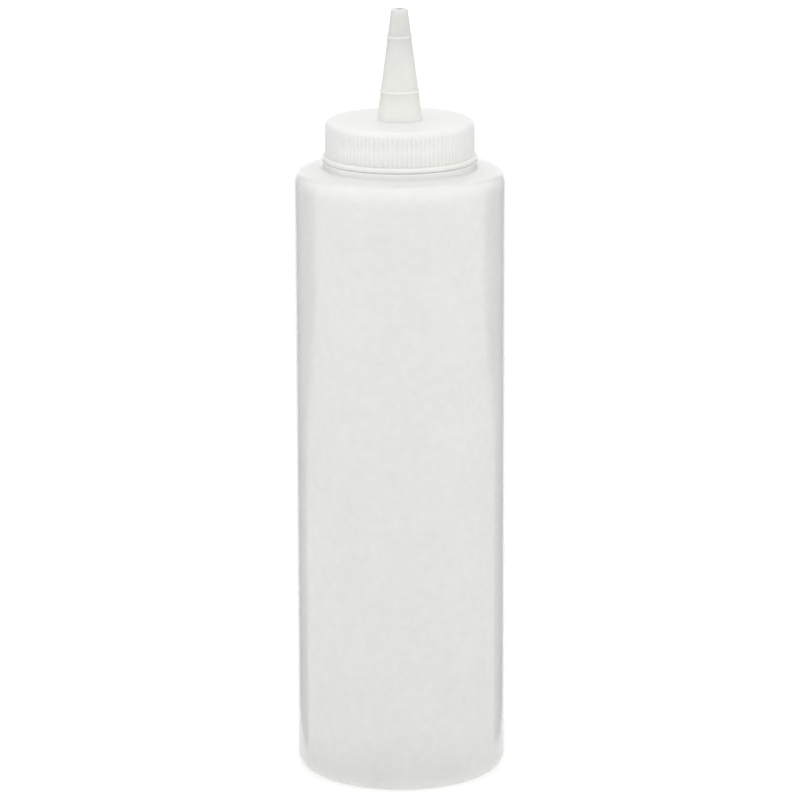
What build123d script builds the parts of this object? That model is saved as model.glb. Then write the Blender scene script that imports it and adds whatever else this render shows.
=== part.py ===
from build123d import *
from math import radians, tan
import os

# Squeeze bottle for sauces, with a screw-on cone-tip cap and the washer that seals it.
# Millimetres, +Z up, origin at the centre of the ring that the bottle stands on.

# --- Driving dimensions -------------------------------------------------------------------

# Bottle body
body_radius = 28.5
wall = 1.1
base_wall = 1.3
base_corner_radius = 3.5
standing_ring_inner_radius = 21.0
push_up_height = 3.0

# Shoulder: a rounded edge, then a shallow cone up to the neck bead
shoulder_edge_z = 163.4
shoulder_edge_width = 2.5
shoulder_edge_height = 3.9
shoulder_edge_pull = 0.4
shoulder_side_pull = 0.6
shoulder_slope = 0.2
neck_bead_radius = 21.2
neck_bead_height = 1.3
neck_bead_rounding = 0.45

# Neck and its thread, to 38-400 proportions
lip_z = 178.4
neck_radius = 17.5
bore_radius = 16.2
bore_flare_radius = 1.0
lip_rounding = 0.3
thread_pitch = 25.4 / 6
thread_flank_angle = 30
thread_fusion_depth = 0.3
thread_end_fit = 0.98
neck_thread_depth = 1.15
neck_thread_root_width = 2.3
neck_thread_turns = 1.1
neck_thread_start_z = 171.4
neck_thread_start_angle = 200

# Sealing washer, between the lip and the underside of the cap's top
washer_thickness = 1.0
washer_inner_radius = 13.5
washer_outer_radius = 18.8

# Cap
cap_bottom_z = 169.9
cap_top_thickness = 1.4
cap_skirt_radius = 20.0
cap_inner_radius = 19.05
cap_top_corner_radius = 1.4
cap_flange_radius = 20.9
cap_flange_height = 1.4
cap_flange_rounding = 0.35
cap_mouth_chamfer = 0.4
cap_thread_depth = 1.05
cap_thread_root_width = 1.9
cap_thread_turns = 1.2
cap_thread_delay_turns = 0.28
thread_running_clearance = 0.15
rib_count = 100
rib_radius = 0.4
rib_height = 0.1
rib_top_margin = 1.5

# Nozzle, and the raised rings that mark where its tip may be cut off
nozzle_height = 30.0
nozzle_base_radius = 6.1
nozzle_tip_radius = 2.17
nozzle_base_wall = 1.2
nozzle_root_rounding = 0.4
nozzle_tip_rounding = 0.4
orifice_radius = 1.25
cut_ring_distances = (8.0, 22.6)
cut_ring_width = 0.9
cut_ring_height = 0.3

# --- Worked-out dimensions ----------------------------------------------------------------

inner_body_radius = body_radius - wall
inner_corner_radius = base_corner_radius - wall
shoulder_start_radius = body_radius - shoulder_edge_width
cap_underside_z = lip_z + washer_thickness
cap_top_z = cap_underside_z + cap_top_thickness
nozzle_tip_z = cap_top_z + nozzle_height
flank_slope = tan(radians(thread_flank_angle))


def push_up_arc(height):
    """Three points of the base's dome, from the axis to the standing ring, raised by a height."""
    return (
        (0, push_up_height + height),
        (standing_ring_inner_radius / 2, push_up_height * 0.75 + height),
        (standing_ring_inner_radius, height),
    )


def shoulder_z(radius):
    """Height of the shoulder's outer cone at a radius."""
    rise = shoulder_slope * (shoulder_start_radius - radius)
    return shoulder_edge_z + shoulder_edge_height + rise


def shoulder_edge(inset):
    """Control points of the rounded edge from the side up to the cone, inset from the outside."""
    radius = body_radius - inset
    pull_radius = radius - shoulder_edge_width * shoulder_edge_pull
    end_radius = radius - shoulder_edge_width
    return (
        (radius, shoulder_edge_z - inset),
        (radius, shoulder_edge_z - inset + shoulder_edge_height * shoulder_side_pull),
        (pull_radius, shoulder_z(pull_radius) - inset),
        (end_radius, shoulder_z(end_radius) - inset),
    )


def nozzle_radius(height):
    """Outer radius of the nozzle at a height above the cap's top."""
    taper = (nozzle_base_radius - nozzle_tip_radius) / nozzle_height
    return nozzle_base_radius - taper * height


bead_bottom_z = shoulder_z(neck_bead_radius)
bead_top_z = bead_bottom_z + neck_bead_height


def thread_ridge(root_radius, depth, root_width, start_z, turns):
    """Right-hand thread ridge with rounded ends, starting above +X.

    It stands out from a cylinder of root_radius, or into its bore where depth is negative.
    """
    height = abs(depth)
    side = 1 if depth > 0 else -1
    crest_width = root_width - 2 * height * flank_slope
    buried_width = root_width + 2 * thread_fusion_depth * flank_slope
    with BuildPart() as ridge:
        with BuildLine():
            run = Helix(
                pitch=thread_pitch,
                height=thread_pitch * turns,
                radius=root_radius,
                center=(0, 0, start_z),
            )
        with BuildSketch(Plane(run @ 0, x_dir=(side, 0, 0), z_dir=run % 0)):
            with BuildLine():
                Polyline(
                    (-thread_fusion_depth, -buried_width / 2),
                    (height, -crest_width / 2),
                    (height, crest_width / 2),
                    (-thread_fusion_depth, buried_width / 2),
                    close=True,
                )
            make_face()
        sweep(path=run, is_frenet=True)
        for end in (run @ 0, run @ 1):
            outward = Vector(end.X, end.Y, 0).normalized() * side
            with Locations(Plane(end - outward * thread_fusion_depth, z_dir=outward)):
                Cone(
                    bottom_radius=thread_end_fit * buried_width / 2,
                    top_radius=thread_end_fit * crest_width / 2,
                    height=height + thread_fusion_depth,
                    align=(Align.CENTER, Align.CENTER, Align.MIN),
                )
    return ridge.part


# --- Bottle -------------------------------------------------------------------------------

neck_thread = thread_ridge(
    neck_radius, neck_thread_depth, neck_thread_root_width, neck_thread_start_z, neck_thread_turns
)

with BuildPart() as bottle:
    with BuildSketch(Plane.XZ):
        with BuildLine():
            push_up = ThreePointArc(*push_up_arc(0))
            side = FilletPolyline(
                push_up @ 1,
                (body_radius, 0),
                (body_radius, shoulder_edge_z),
                radius=base_corner_radius,
            )
            edge = Bezier(*shoulder_edge(0))
            FilletPolyline(
                edge @ 1,
                (neck_bead_radius, bead_bottom_z),
                (neck_bead_radius, bead_top_z),
                (neck_radius, bead_top_z),
                (neck_radius, lip_z),
                (0, lip_z),
                push_up @ 0,
                radius=(0, neck_bead_rounding, 0, lip_rounding, 0),
            )
        make_face()
    revolve(axis=Axis.Z)
    add(neck_thread, rotation=(0, 0, neck_thread_start_angle))
    with BuildSketch(Plane.XZ):
        with BuildLine():
            inner_push_up = ThreePointArc(*push_up_arc(base_wall))
            inner_side = FilletPolyline(
                inner_push_up @ 1,
                (inner_body_radius, base_wall),
                (inner_body_radius, shoulder_edge_z - wall),
                radius=inner_corner_radius,
            )
            inner_edge = Bezier(*shoulder_edge(wall))
            FilletPolyline(
                inner_edge @ 1,
                (bore_radius, shoulder_z(bore_radius) - wall),
                (bore_radius, lip_z),
                (0, lip_z),
                inner_push_up @ 0,
                radius=(bore_flare_radius, 0, 0),
            )
        make_face()
    revolve(axis=Axis.Z, mode=Mode.SUBTRACT)

bottle.part.label = "bottle"

# --- Sealing washer -----------------------------------------------------------------------

with BuildPart() as sealing_washer:
    with BuildSketch(Plane.XY.offset(lip_z)):
        Circle(washer_outer_radius)
        Circle(washer_inner_radius, mode=Mode.SUBTRACT)
    extrude(amount=washer_thickness)

sealing_washer.part.label = "sealing_washer"

# --- Cap ----------------------------------------------------------------------------------

# Along the axis, the two ridges are this far apart, middle to middle, when the cap is tight:
# half of what their widths add up to at any one radius, and the running clearance.
thread_overlap = cap_inner_radius - neck_radius
ridge_widths = neck_thread_root_width + cap_thread_root_width - 2 * thread_overlap * flank_slope
cap_thread_drop = ridge_widths / 2 + thread_running_clearance
cap_thread_start_z = neck_thread_start_z - cap_thread_drop + cap_thread_delay_turns * thread_pitch

cap_thread = thread_ridge(
    cap_inner_radius, -cap_thread_depth, cap_thread_root_width, cap_thread_start_z, cap_thread_turns
)

cut_ring_radius = (cut_ring_width**2 / 4 + cut_ring_height**2) / (2 * cut_ring_height)
rib_bottom_z = cap_bottom_z + cap_flange_height
rib_length = cap_top_z - rib_top_margin - rib_bottom_z

with BuildPart() as cone_tip_cap:
    with BuildSketch(Plane.XZ):
        with BuildLine():
            FilletPolyline(
                (0, cap_bottom_z),
                (cap_flange_radius, cap_bottom_z),
                (cap_flange_radius, rib_bottom_z),
                (cap_skirt_radius, rib_bottom_z),
                (cap_skirt_radius, cap_top_z),
                (nozzle_base_radius, cap_top_z),
                (nozzle_tip_radius, nozzle_tip_z),
                (0, nozzle_tip_z),
                radius=(
                    0,
                    cap_flange_rounding,
                    cap_flange_rounding,
                    0,
                    cap_top_corner_radius,
                    nozzle_root_rounding,
                    nozzle_tip_rounding,
                    0,
                ),
                close=True,
            )
        make_face()
        for distance_up in cut_ring_distances:
            ring_centre = nozzle_radius(distance_up) + cut_ring_height - cut_ring_radius
            with Locations((ring_centre, cap_top_z + distance_up)):
                Circle(cut_ring_radius)
    revolve(axis=Axis.Z)
    with BuildSketch(Plane.XY.offset(rib_bottom_z)):
        with PolarLocations(cap_skirt_radius + rib_height - rib_radius, rib_count):
            Circle(rib_radius)
    extrude(amount=rib_length)
    with BuildSketch(Plane.XZ):
        with BuildLine():
            Polyline(
                (0, cap_bottom_z),
                (cap_inner_radius + cap_mouth_chamfer, cap_bottom_z),
                (cap_inner_radius, cap_bottom_z + cap_mouth_chamfer),
                (cap_inner_radius, cap_underside_z),
                (nozzle_base_radius - nozzle_base_wall, cap_underside_z),
                (orifice_radius, nozzle_tip_z),
                (0, nozzle_tip_z),
                close=True,
            )
        make_face()
    revolve(axis=Axis.Z, mode=Mode.SUBTRACT)
    add(cap_thread, rotation=(0, 0, neck_thread_start_angle + 360 * cap_thread_delay_turns))

cone_tip_cap.part.label = "cone_tip_cap"

# --- Files --------------------------------------------------------------------------------

os.makedirs("parts", exist_ok=True)
export_step(bottle.part, "parts/bottle.step")
export_step(sealing_washer.part, "parts/sealing_washer.step")
export_step(cone_tip_cap.part, "parts/cone_tip_cap.step")
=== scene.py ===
from math import ceil, cos, hypot, pi, radians, sin, tan

import bmesh
import bpy
from mathutils import Matrix, Vector, noise


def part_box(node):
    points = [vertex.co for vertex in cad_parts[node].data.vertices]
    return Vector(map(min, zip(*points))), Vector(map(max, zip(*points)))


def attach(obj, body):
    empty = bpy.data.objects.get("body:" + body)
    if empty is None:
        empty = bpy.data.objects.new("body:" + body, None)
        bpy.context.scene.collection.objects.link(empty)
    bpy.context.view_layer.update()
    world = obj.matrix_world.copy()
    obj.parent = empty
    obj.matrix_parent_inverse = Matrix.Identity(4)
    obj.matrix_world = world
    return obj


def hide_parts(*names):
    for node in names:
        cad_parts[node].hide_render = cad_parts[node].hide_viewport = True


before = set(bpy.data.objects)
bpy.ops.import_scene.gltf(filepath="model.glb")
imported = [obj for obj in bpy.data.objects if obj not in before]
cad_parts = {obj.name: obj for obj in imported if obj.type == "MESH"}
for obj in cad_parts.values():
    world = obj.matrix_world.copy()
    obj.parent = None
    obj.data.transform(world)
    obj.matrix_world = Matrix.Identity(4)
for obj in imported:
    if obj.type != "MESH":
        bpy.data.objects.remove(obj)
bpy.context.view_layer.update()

# A squeeze bottle, its screw cap with a cone tip, and the washer between them. All sizes are in
# metres. The frame gives the outside sizes, and the shape between them is given here.

MM = 0.001

bottle_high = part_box("bottle")[1]
cap_low, cap_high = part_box("cone_tip_cap")
washer_low, washer_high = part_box("sealing_washer")

# --- Sizes of the bottle ------------------------------------------------------------------

BODY_RADIUS = bottle_high.x
WALL = 1.1 * MM
BASE_WALL = 1.3 * MM
BASE_CORNER = 3.5 * MM
STANDING_RING_INNER = 21.0 * MM
PUSH_UP = 3.0 * MM

SHOULDER_Z = 163.4 * MM
SHOULDER_WIDTH = 2.5 * MM
SHOULDER_HEIGHT = 3.9 * MM
SHOULDER_EDGE_PULL = 0.4
SHOULDER_SIDE_PULL = 0.6
SHOULDER_SLOPE = 0.2

BEAD_RADIUS = 21.2 * MM
BEAD_HEIGHT = 1.6 * MM
BEAD_FOOT_ROUNDING = 0.8 * MM
NECK_RADIUS = 17.5 * MM
NECK_ROUNDING = 0.3 * MM
BORE_RADIUS = 16.2 * MM
BORE_FLARE = 1.0 * MM
LIP_Z = bottle_high.z

# The side lies inside its full radius by the first of these, except on its two parting lines, and
# by a wave of up to the second. Both fade out towards its two ends.
PARTING_LINE_PROUD = 0.05 * MM
WALL_WAVE = 0.05 * MM
WALL_WAVE_SCALE = 45.0
WALL_WAVE_UPRIGHT = 0.5
WALL_FADE = 10 * MM

PINCH_HALF_WIDTH = 0.8 * MM
PINCH_HALF_LENGTH = 17.0 * MM
PINCH_PROUD = 0.35 * MM
PINCH_END_POWER = 6

# --- Sizes of the cap and the washer ------------------------------------------------------

CAP_TOP_THICKNESS = 1.4 * MM
CAP_TOP_Z = washer_high.z + CAP_TOP_THICKNESS
CAP_TOP_ROUNDING = 1.4 * MM
CAP_SKIRT_RADIUS = 20.0 * MM
CAP_SKIRT_FOOT_ROUNDING = 0.15 * MM
CAP_INNER_RADIUS = 19.05 * MM
CAP_INNER_ROUNDING = 0.3 * MM
CAP_MOUTH_CHAMFER = 0.4 * MM
CAP_MOUTH_ROUNDING = 0.1 * MM
CAP_FLANGE_HEIGHT = 1.4 * MM
CAP_FLANGE_ROUNDING = 0.35 * MM

RIB_COUNT = 100
RIB_HEIGHT = 0.1 * MM
RIB_GROOVE = 0.06 * MM
RIB_POWER = 1.5
RIB_FADE = 0.3 * MM
RIB_LOW_MARGIN = 0.1 * MM
RIB_TOP_MARGIN = 1.5 * MM

NOZZLE_BASE_RADIUS = 6.1 * MM
NOZZLE_TIP_RADIUS = 2.17 * MM
NOZZLE_ROUNDING = 0.4 * MM
NOZZLE_FOOT_HEIGHT = 1 * MM
NOZZLE_BORE_RADIUS = 4.9 * MM
ORIFICE_RADIUS = 1.25 * MM
ORIFICE_ROUNDING = 0.15 * MM
CUT_RING_HEIGHTS = (8.0 * MM, 22.6 * MM)
CUT_RING_WIDTH = 0.9 * MM
CUT_RING_PROUD = 0.3 * MM

WASHER_HOLE_RADIUS = 13.5 * MM
WASHER_ROUNDING = 0.2 * MM
WASHER_GAP = 0.03 * MM

# --- Threads ------------------------------------------------------------------------------

# Both are right-handed. start_z is a thread's height at the start angle, and the thread itself
# begins delay turns further on, and higher.
THREAD_PITCH = 25.4 * MM / 6
FLANK_SLOPE = tan(radians(30))
THREAD_START_ANGLE = radians(200)
NECK_THREAD = {
    "depth": 1.15 * MM,
    "root_width": 2.3 * MM,
    "start_z": 171.4 * MM,
    "turns": 1.1,
    "delay": 0,
}
CAP_THREAD = {
    "depth": 1.05 * MM,
    "root_width": 1.9 * MM,
    "start_z": 170.05 * MM,
    "turns": 1.2,
    "delay": 0.28,
}
# The neck's thread keeps this far from the bead and from the lip
BEAD_CLEAR = 0.2 * MM
LIP_CLEAR = 0.35 * MM

# --- How finely the turned shapes are cut -------------------------------------------------

ARC_STEP = 0.2 * MM
LEAST_ARC_STEPS = 4
SHOULDER_EDGE_STEPS = 16
BODY_COLUMNS = 320
BASE_ROWS = 24
CAP_COLUMNS = RIB_COUNT * 7
WASHER_COLUMNS = 192
PLAIN_STEP = 5 * MM
WAVY_STEP = 2.5 * MM
NECK_THREAD_STEP = 0.19 * MM
CAP_THREAD_STEP = NECK_THREAD_STEP * 1.5
RIB_END_STEP = 0.1 * MM
CUT_RING_STEP = 0.12 * MM
WASHER_STEP = 0.5 * MM
SAME_RADIUS = 0.02 * MM
ON_AXIS = 0.0001 * MM


# --- Outlines in the (radius, z) plane ----------------------------------------------------


def near(radius, other):
    return abs(radius - other) < SAME_RADIUS


def highest_row(outline):
    return max(range(len(outline)), key=lambda row: outline[row].y)


def divided(points, longest_run):
    """The same open outline with more points: longest_run(middle) is the longest run left there."""
    result = [points[0]]
    for before, after in zip(points, points[1:]):
        steps = max(1, ceil((after - before).length / longest_run((before + after) / 2)))
        result += [before.lerp(after, step / steps) for step in range(1, steps + 1)]
    return result


def corner_arc(before, here, after, rounding):
    """Points of the arc that rounds the corner at here."""
    if rounding == 0:
        return [here]
    back = (before - here).normalized()
    on = (after - here).normalized()
    half_angle = back.angle(on) / 2
    reach = rounding / tan(half_angle)
    centre = here + (back + on).normalized() * rounding / sin(half_angle)
    start, end = here + back * reach, here + on * reach
    steps = max(LEAST_ARC_STEPS, ceil((pi - 2 * half_angle) * rounding / ARC_STEP))
    chord = [start.lerp(end, step / steps) for step in range(steps + 1)]
    return [centre + (point - centre).normalized() * rounding for point in chord]


def rounded(corners):
    """An open outline through (radius, z, rounding) corners."""
    spots = [Vector((radius, z)) for radius, z, _ in corners]
    points = [spots[0]]
    for before, here, after, corner in zip(spots, spots[1:], spots[2:], corners[1:]):
        points += corner_arc(before, here, after, corner[2])
    return points + [spots[-1]]


def cubic(a, b, c, d, steps):
    """Points of a cubic curve, without its first one."""
    points = []
    for step in range(1, steps + 1):
        t = step / steps
        s = 1 - t
        points.append(a * s**3 + b * (3 * s * s * t) + c * (3 * s * t * t) + d * t**3)
    return points


# --- Turned meshes ------------------------------------------------------------------------


def added(name, data):
    """A new object in the scene."""
    thing = bpy.data.objects.new(name, data)
    bpy.context.scene.collection.objects.link(thing)
    return thing


def placed(radius, z, angle):
    return (radius * cos(angle), radius * sin(angle), z)


def turned(name, outline, columns, shape, closed=False):
    """An outline turned about the axis.

    shape(radius, z, angle, row) gives each point's place, and a point on the axis becomes a pole.
    """
    mesh = bpy.data.meshes.new(name)
    bm = bmesh.new()
    rows = []
    for row, point in enumerate(outline):
        if point.x < ON_AXIS:
            rows.append([bm.verts.new(shape(0.0, point.y, 0.0, row))])
            continue
        angles = [2 * pi * column / columns for column in range(columns)]
        rows.append([bm.verts.new(shape(point.x, point.y, angle, row)) for angle in angles])
    pairs = list(zip(rows, rows[1:]))
    if closed:
        pairs.append((rows[-1], rows[0]))
    for lower, upper in pairs:
        for column in range(columns):
            following = (column + 1) % columns
            corners = [lower[column % len(lower)], lower[following % len(lower)]]
            corners += [upper[following % len(upper)], upper[column % len(upper)]]
            bm.faces.new(dict.fromkeys(corners))
    bmesh.ops.recalc_face_normals(bm, faces=bm.faces)
    for face in bm.faces:
        face.smooth = True
    bm.to_mesh(mesh)
    bm.free()
    return added(name, mesh)


def thread_height(thread, z, angle):
    """How far a thread stands out at a height and an angle, with both ends rounded off."""
    half_root = thread["root_width"] / 2
    length = 2 * pi * thread["turns"]
    first = (angle - THREAD_START_ANGLE - 2 * pi * thread["delay"]) % (2 * pi)
    start_z = thread["start_z"] + THREAD_PITCH * thread["delay"]
    nearest = half_root
    for turn in (-1, 0, 1, 2):
        along = first + 2 * pi * turn
        beyond = max(-along, along - length, 0) * NECK_RADIUS
        held = min(max(along, 0), length)
        nearest = min(nearest, hypot(z - start_z - THREAD_PITCH * held / (2 * pi), beyond))
    rise = min((half_root - nearest) / FLANK_SLOPE, thread["depth"]) / thread["depth"]
    return thread["depth"] * rise


# --- Bottle -------------------------------------------------------------------------------


def shoulder_cone_z(radius):
    """Height of the shoulder's outer cone at a radius."""
    edge_z = SHOULDER_Z + SHOULDER_HEIGHT
    return edge_z + SHOULDER_SLOPE * (BODY_RADIUS - SHOULDER_WIDTH - radius)


def shell_side(inset, floor):
    """Outline of the bottle from the axis up to the end of the shoulder's rounded edge."""
    radius = BODY_RADIUS - inset
    top_z = SHOULDER_Z - inset
    base = []
    for step in range(BASE_ROWS + 1):
        out = step / BASE_ROWS
        base.append(Vector((STANDING_RING_INNER * out, PUSH_UP * (1 - out**2) + floor)))
    side = rounded([
        (STANDING_RING_INNER, floor, 0),
        (radius, floor, BASE_CORNER - inset),
        (radius, top_z, 0),
    ])
    pull = radius - SHOULDER_WIDTH * SHOULDER_EDGE_PULL
    end = radius - SHOULDER_WIDTH
    edge = cubic(
        Vector((radius, top_z)),
        Vector((radius, top_z + SHOULDER_HEIGHT * SHOULDER_SIDE_PULL)),
        Vector((pull, shoulder_cone_z(pull) - inset)),
        Vector((end, shoulder_cone_z(end) - inset)),
        SHOULDER_EDGE_STEPS,
    )
    return base + side[1:] + edge


def pinch_off(x, y):
    """How far the ridge that the mould's pinch leaves across the base stands out."""
    across = max(0, 1 - (y / PINCH_HALF_WIDTH) ** 2)
    along = max(0, 1 - (x / PINCH_HALF_LENGTH) ** PINCH_END_POWER)
    return PINCH_PROUD * across * along


def wall_dip(z, angle):
    """How far the side lies inside its full radius: all round, except on the two parting lines."""
    off_line = min(1, abs(sin(angle)) * BODY_COLUMNS / (2 * pi))
    x, y, _ = placed(BODY_RADIUS, z, angle)
    place = Vector((x, y, z * WALL_WAVE_UPRIGHT)) * WALL_WAVE_SCALE
    wave = WALL_WAVE * (0.5 + 0.5 * noise.noise(place))
    ends = min(1, (z - BASE_CORNER) / WALL_FADE, (SHOULDER_Z - z) / WALL_FADE)
    return max(0, ends) * (PARTING_LINE_PROUD * off_line + wave)


def make_bottle():
    bead_z = shoulder_cone_z(BEAD_RADIUS)
    bead_top = bead_z + BEAD_HEIGHT
    inner_shoulder = BODY_RADIUS - WALL - SHOULDER_WIDTH
    outside = shell_side(0, 0)
    start = outside[-1]
    neck = rounded([
        (start.x, start.y, 0),
        (BEAD_RADIUS, bead_z, BEAD_FOOT_ROUNDING),
        (BEAD_RADIUS, bead_top, NECK_ROUNDING),
        (NECK_RADIUS, bead_top, NECK_ROUNDING),
        (NECK_RADIUS, LIP_Z, NECK_ROUNDING),
        (BORE_RADIUS, LIP_Z, NECK_ROUNDING),
        (BORE_RADIUS, shoulder_cone_z(BORE_RADIUS) - WALL, BORE_FLARE),
        (inner_shoulder, shoulder_cone_z(inner_shoulder) - WALL, 0),
    ])
    inside = shell_side(WALL, BASE_WALL)[::-1]

    def neck_run(middle):
        on_neck = near(middle.x, NECK_RADIUS) and middle.y > bead_top
        return NECK_THREAD_STEP if on_neck else PLAIN_STEP

    outline = divided(outside, lambda middle: WAVY_STEP)
    outline += divided(neck, neck_run)[1:]
    outline += divided(inside, lambda middle: PLAIN_STEP)[1:]
    lip_row = highest_row(outline)

    def shape(radius, z, angle, row):
        if row <= BASE_ROWS:
            z -= pinch_off(radius * cos(angle), radius * sin(angle))
        elif row < lip_row and bead_top + BEAD_CLEAR < z < LIP_Z - LIP_CLEAR:
            radius += thread_height(NECK_THREAD, z, angle)
        elif row < lip_row and BASE_CORNER < z < SHOULDER_Z:
            radius -= wall_dip(z, angle)
        return placed(radius, z, angle)

    return turned("squeeze_bottle", outline, BODY_COLUMNS, shape)


# --- Cap ----------------------------------------------------------------------------------


def rib_rise(z, angle, high):
    """How far the skirt stands out from its plain radius, with the ribs fading out at the top."""
    wave = 0.5 + 0.5 * cos(RIB_COUNT * angle)
    fade = min(1, (high - z) / RIB_FADE)
    return fade * ((RIB_HEIGHT + RIB_GROOVE) * wave**RIB_POWER - RIB_GROOVE)


def on_cut_ring(z):
    return any(abs(z - CAP_TOP_Z - distance) < CUT_RING_WIDTH / 2 for distance in CUT_RING_HEIGHTS)


def cut_ring_edges():
    """Corners on the nozzle where its two raised rings begin and end."""
    taper = (NOZZLE_BASE_RADIUS - NOZZLE_TIP_RADIUS) / (cap_high.z - CAP_TOP_Z)
    edges = []
    for distance in CUT_RING_HEIGHTS:
        for side in (-1, 1):
            up = distance + side * CUT_RING_WIDTH / 2
            edges.append((NOZZLE_BASE_RADIUS - taper * up, CAP_TOP_Z + up, 0))
    return edges


def make_cap():
    flange_top = cap_low.z + CAP_FLANGE_HEIGHT
    underside = washer_high.z
    rib_low = flange_top + RIB_LOW_MARGIN
    rib_high = CAP_TOP_Z - RIB_TOP_MARGIN
    outside = rounded([
        (CAP_INNER_RADIUS, cap_low.z + CAP_MOUTH_CHAMFER, 0),
        (CAP_INNER_RADIUS + CAP_MOUTH_CHAMFER, cap_low.z, CAP_MOUTH_ROUNDING),
        (cap_high.x, cap_low.z, CAP_FLANGE_ROUNDING),
        (cap_high.x, flange_top, CAP_FLANGE_ROUNDING),
        (CAP_SKIRT_RADIUS, flange_top, CAP_SKIRT_FOOT_ROUNDING),
        (CAP_SKIRT_RADIUS, rib_high - RIB_FADE, 0),
        (CAP_SKIRT_RADIUS, rib_high, 0),
        (CAP_SKIRT_RADIUS, CAP_TOP_Z, CAP_TOP_ROUNDING),
        (NOZZLE_BASE_RADIUS, CAP_TOP_Z, NOZZLE_ROUNDING),
        *cut_ring_edges(),
        (NOZZLE_TIP_RADIUS, cap_high.z, NOZZLE_ROUNDING),
        (ORIFICE_RADIUS, cap_high.z, ORIFICE_ROUNDING),
        (NOZZLE_BORE_RADIUS, underside, CAP_INNER_ROUNDING),
        (CAP_INNER_RADIUS, underside, CAP_INNER_ROUNDING),
        (CAP_INNER_RADIUS, cap_low.z + CAP_MOUTH_CHAMFER, 0),
    ])

    def cap_run(middle):
        if near(middle.x, CAP_INNER_RADIUS):
            return CAP_THREAD_STEP
        if near(middle.x, CAP_SKIRT_RADIUS) and middle.y > rib_high - RIB_FADE:
            return RIB_END_STEP
        if middle.x > NOZZLE_TIP_RADIUS and on_cut_ring(middle.y):
            return CUT_RING_STEP
        return PLAIN_STEP

    outline = divided(outside, cap_run)[:-1]
    nozzle_tip_row = highest_row(outline)

    def shape(radius, z, angle, row):
        on_nozzle = z > CAP_TOP_Z + NOZZLE_FOOT_HEIGHT and row < nozzle_tip_row
        if near(radius, CAP_SKIRT_RADIUS) and rib_low < z < rib_high:
            radius += rib_rise(z, angle, rib_high)
        elif near(radius, CAP_INNER_RADIUS):
            radius -= thread_height(CAP_THREAD, z, angle)
        elif on_nozzle and radius > NOZZLE_TIP_RADIUS:
            for distance in CUT_RING_HEIGHTS:
                off = (z - CAP_TOP_Z - distance) / (CUT_RING_WIDTH / 2)
                radius += CUT_RING_PROUD * max(0, 1 - off * off)
        return placed(radius, z, angle)

    return turned("cone_tip_screw_cap", outline, CAP_COLUMNS, shape, closed=True)


# --- Washer -------------------------------------------------------------------------------


def make_washer():
    """The washer, a hair thinner than its space, so that no two faces lie in one plane."""
    low_z, high_z = washer_low.z + WASHER_GAP, washer_high.z - WASHER_GAP
    middle = (washer_high.x + WASHER_HOLE_RADIUS) / 2
    ring = rounded([
        (middle, low_z, 0),
        (washer_high.x, low_z, WASHER_ROUNDING),
        (washer_high.x, high_z, WASHER_ROUNDING),
        (WASHER_HOLE_RADIUS, high_z, WASHER_ROUNDING),
        (WASHER_HOLE_RADIUS, low_z, WASHER_ROUNDING),
        (middle, low_z, 0),
    ])
    outline = divided(ring, lambda middle: WASHER_STEP)[:-1]

    def shape(radius, z, angle, row):
        return placed(radius, z, angle)

    return turned("foam_washer", outline, WASHER_COLUMNS, shape, closed=True)


# --- Materials ----------------------------------------------------------------------------

# shades are (height, colour) stops up the piece; roughness is a (low, high) pair; mottle is how
# much the colour wanders; grain is the height of the fine surface texture. On the bottle and the
# nozzle the height stops are painted shade, for the light lost inside them and for how the light
# falls: the bottle is darker towards its base and lighter at its shoulder and neck, and the
# nozzle is darker towards its tip.

BOTTLE_PLASTIC = {
    # Painted shade: darker towards the base, lighter up at the shoulder and neck
    "shades": (
        (0.0, (0.70, 0.705, 0.675)),
        (20 * MM, (0.77, 0.775, 0.745)),
        (50 * MM, (0.80, 0.805, 0.775)),
        (SHOULDER_Z - 2 * MM, (0.85, 0.855, 0.825)),
        (SHOULDER_Z + SHOULDER_HEIGHT, (0.90, 0.905, 0.88)),
        (LIP_Z, (0.90, 0.905, 0.88)),
    ),
    "roughness": (0.12, 0.17),
    "subsurface_scale": 2.2 * MM,
    "mottle": 0.04,
    "grain": 0.008 * MM,
}
CAP_PLASTIC = {
    "shades": (
        (cap_low.z, (0.95, 0.955, 0.875)),
        (CAP_TOP_Z, (0.955, 0.96, 0.89)),
        # Painted shade on the nozzle: darker towards its tip
        (CAP_TOP_Z + 8 * MM, (0.85, 0.85, 0.80)),
        (cap_high.z, (0.70, 0.70, 0.68)),
    ),
    "roughness": (0.36, 0.46),
    "subsurface_scale": 2 * MM,
    "mottle": 0.03,
    "grain": 0.01 * MM,
}
WASHER_FOAM = {
    "shades": (
        (washer_low.z, (0.93, 0.93, 0.92)),
        (washer_high.z, (0.95, 0.95, 0.94)),
    ),
    "roughness": (0.65, 0.8),
    "subsurface_scale": 2 * MM,
    "mottle": 0.03,
    "grain": 0.03 * MM,
}

PLASTIC_IOR = 1.51

# Each noise is a scale and a detail, and its values lie mostly between the low and the high one
CLOUD_NOISE = (55, 4)
SPECK_NOISE = (420, 3)
GRAIN_NOISE = (1500, 3)
NOISE_LOW = 0.3
NOISE_HIGH = 0.7


def linked(tree, kind, inputs, **settings):
    """A new node, with each input set to a value or joined to another node's output."""
    node = tree.nodes.new(kind)
    for name, value in settings.items():
        setattr(node, name, value)
    for key, value in inputs.items():
        if isinstance(value, bpy.types.NodeSocket):
            tree.links.new(value, node.inputs[key])
        else:
            node.inputs[key].default_value = value
    return node


def noise_value(tree, place, scale, detail):
    inputs = {"Vector": place, "Scale": scale, "Detail": detail}
    return linked(tree, "ShaderNodeTexNoise", inputs).outputs["Fac"]


def ranged(tree, value, low, high, to_low, to_high):
    inputs = {"Value": value, "From Min": low, "From Max": high, "To Min": to_low, "To Max": to_high}
    return linked(tree, "ShaderNodeMapRange", inputs).outputs["Result"]


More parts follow.
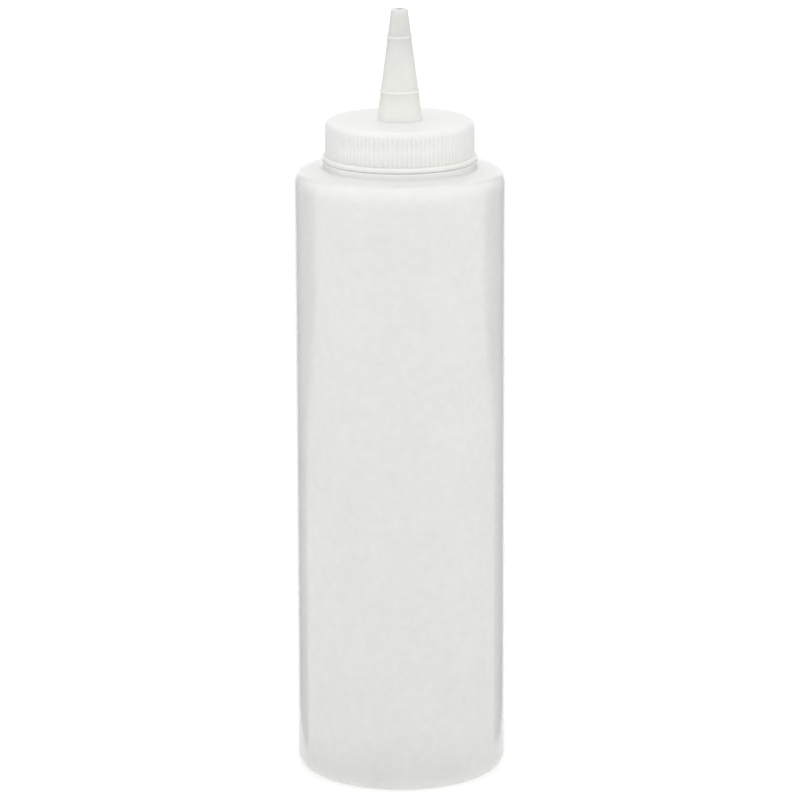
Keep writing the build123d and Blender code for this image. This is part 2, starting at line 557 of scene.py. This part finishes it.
def height_colour_and_painted_shade(tree, place, shades):
    """The piece's colour at a place, from its (height, colour) stops, which hold painted shade."""
    lowest, highest = shades[0][0], shades[-1][0]
    height = linked(tree, "ShaderNodeSeparateXYZ", {"Vector": place}).outputs["Z"]
    ramp = linked(tree, "ShaderNodeValToRGB", {"Fac": ranged(tree, height, lowest, highest, 0, 1)})
    ramp.color_ramp.interpolation = "EASE"
    stops = ramp.color_ramp.elements
    while len(stops) < len(shades):
        stops.new(0.5)
    for stop, (stop_height, colour) in zip(stops, shades):
        stop.position = (stop_height - lowest) / (highest - lowest)
        stop.color = (*colour, 1)
    return ramp.outputs["Color"]


def plastic(name, shades, roughness, subsurface_scale, mottle, grain):
    """A milky moulded material: painted shade up its height, and colour, roughness and surface varied
    by noise.
    """
    material = bpy.data.materials.new(name)
    material.use_nodes = True
    tree = material.node_tree
    shader = tree.nodes["Principled BSDF"]
    shader.inputs["IOR"].default_value = PLASTIC_IOR
    shader.inputs["Subsurface Weight"].default_value = 1.0
    shader.inputs["Subsurface Radius"].default_value = (1, 1, 1)
    shader.inputs["Subsurface Scale"].default_value = subsurface_scale

    place = tree.nodes.new("ShaderNodeTexCoord").outputs["Object"]
    cloud = noise_value(tree, place, *CLOUD_NOISE)
    speck = noise_value(tree, place, *SPECK_NOISE)
    wander = linked(tree, "ShaderNodeMath", {0: cloud, 1: speck}, operation="ADD").outputs["Value"]
    share = ranged(tree, wander, 2 * NOISE_LOW, 2 * NOISE_HIGH, 1 - mottle, 1 + mottle)
    # Base colour: the painted height shade, times the random mottle
    inputs = {"Vector": height_colour_and_painted_shade(tree, place, shades), "Scale": share}
    colour_with_painted_shade = linked(tree, "ShaderNodeVectorMath", inputs, operation="SCALE").outputs["Vector"]
    tree.links.new(colour_with_painted_shade, shader.inputs["Base Color"])
    gloss = ranged(tree, cloud, NOISE_LOW, NOISE_HIGH, *roughness)
    tree.links.new(gloss, shader.inputs["Roughness"])

    inputs = {"Height": noise_value(tree, place, *GRAIN_NOISE), "Strength": 1.0, "Distance": grain}
    bump = linked(tree, "ShaderNodeBump", inputs).outputs["Normal"]
    tree.links.new(bump, shader.inputs["Normal"])
    return material


# --- The object ---------------------------------------------------------------------------

bottle = make_bottle()
cap = make_cap()
washer = make_washer()

bottle.data.materials.append(plastic("bottle_ldpe", **BOTTLE_PLASTIC))
cap.data.materials.append(plastic("cap_ldpe", **CAP_PLASTIC))
washer.data.materials.append(plastic("washer_foam", **WASHER_FOAM))

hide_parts("bottle")
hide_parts("cone_tip_cap")
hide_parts("sealing_washer")
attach(bottle, "bottle")
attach(cap, "cap")
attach(washer, "washer")

# --- Stage --------------------------------------------------------------------------------

FLOOR_HALF = 3.0
FLOOR_SHADE = 0.45
FLOOR_GLOW = 0.62
SHEET_ROUGHNESS = 0.9

# Grey cards stand on both sides of the object, and the plastic reflects them near its silhouette.
# Each has its two ends on the floor, given here for the right-hand side. The camera sees none of
# them. The near pair shows only in reflections, so it throws no shade on the floor.
FAR_CARD = {"shade": 0.04, "height": 0.26, "ends": ((0.17, 0.30), (0.58, 0.14))}
NEAR_CARD = {"shade": 0.27, "height": 0.25, "ends": ((0.050, 0.050), (0.044, 0.002))}


def flat_sheet(name, corners, shade, glow):
    """A flat plain sheet of the studio, which isn't part of the object."""
    mesh = bpy.data.meshes.new(name)
    mesh.from_pydata(corners, [], [(0, 1, 2, 3)])
    sheet = added(name, mesh)
    material = bpy.data.materials.new(name)
    material.use_nodes = True
    shader = material.node_tree.nodes["Principled BSDF"]
    shader.inputs["Base Color"].default_value = (shade, shade, shade, 1)
    shader.inputs["Roughness"].default_value = SHEET_ROUGHNESS
    shader.inputs["Emission Color"].default_value = (1, 1, 1, 1)
    shader.inputs["Emission Strength"].default_value = glow
    mesh.materials.append(material)
    return sheet


def stand_card(name, card, side):
    """A card on one side: side is 1 for the right and -1 for the left."""
    start, end = [(side * x, y) for x, y in card["ends"]]
    top = card["height"]
    corners = [(*start, 0), (*end, 0), (*end, top), (*start, top)]
    sheet = flat_sheet(name, corners, card["shade"], 0)
    sheet.visible_camera = False
    return sheet


floor_corners = [(x * FLOOR_HALF, y * FLOOR_HALF, 0) for x, y in ((-1, -1), (1, -1), (1, 1), (-1, 1))]
flat_sheet("floor", floor_corners, FLOOR_SHADE, FLOOR_GLOW)

for side, side_name in ((-1, "left"), (1, "right")):
    stand_card(f"far_card_{side_name}", FAR_CARD, side)
    near_card = stand_card(f"near_card_{side_name}", NEAR_CARD, side)
    near_card.visible_diffuse = False
    near_card.visible_shadow = False

# --- Light --------------------------------------------------------------------------------

ROOM_STRENGTH = 1.0
SOFTBOX_SIZE = 0.6
SOFTBOX_ENERGY = 0.7
SOFTBOX_HEIGHT = 1.6

room = bpy.data.worlds.new("white_room")
room.use_nodes = True
background = room.node_tree.nodes["Background"]
background.inputs["Color"].default_value = (1, 1, 1, 1)
background.inputs["Strength"].default_value = ROOM_STRENGTH
bpy.context.scene.world = room
bpy.context.scene.view_settings.view_transform = "Standard"

softbox = bpy.data.lights.new("top_softbox", "AREA")
softbox.shape = "DISK"
softbox.size = SOFTBOX_SIZE
softbox.energy = SOFTBOX_ENERGY
added("top_softbox", softbox).location = (0, 0, SOFTBOX_HEIGHT)

# --- Camera -------------------------------------------------------------------------------

CAMERA_PLACE = (-0.00013, -1.207, 0.4039)
CAMERA_PITCH = radians(13.99)
CAMERA_ROLL = radians(-0.155)
CAMERA_LENS = 205.4
CAMERA_SENSOR = 36
CAMERA_CLIP_START = 0.01

view = bpy.data.cameras.new("camera")
view.lens = CAMERA_LENS
view.sensor_width = CAMERA_SENSOR
view.clip_start = CAMERA_CLIP_START
camera = added("camera", view)
tilt = Matrix.Rotation(pi / 2 - CAMERA_PITCH, 4, "X")
roll = Matrix.Rotation(CAMERA_ROLL, 4, "Z")
camera.matrix_world = Matrix.Translation(CAMERA_PLACE) @ tilt @ roll
bpy.context.scene.camera = camera
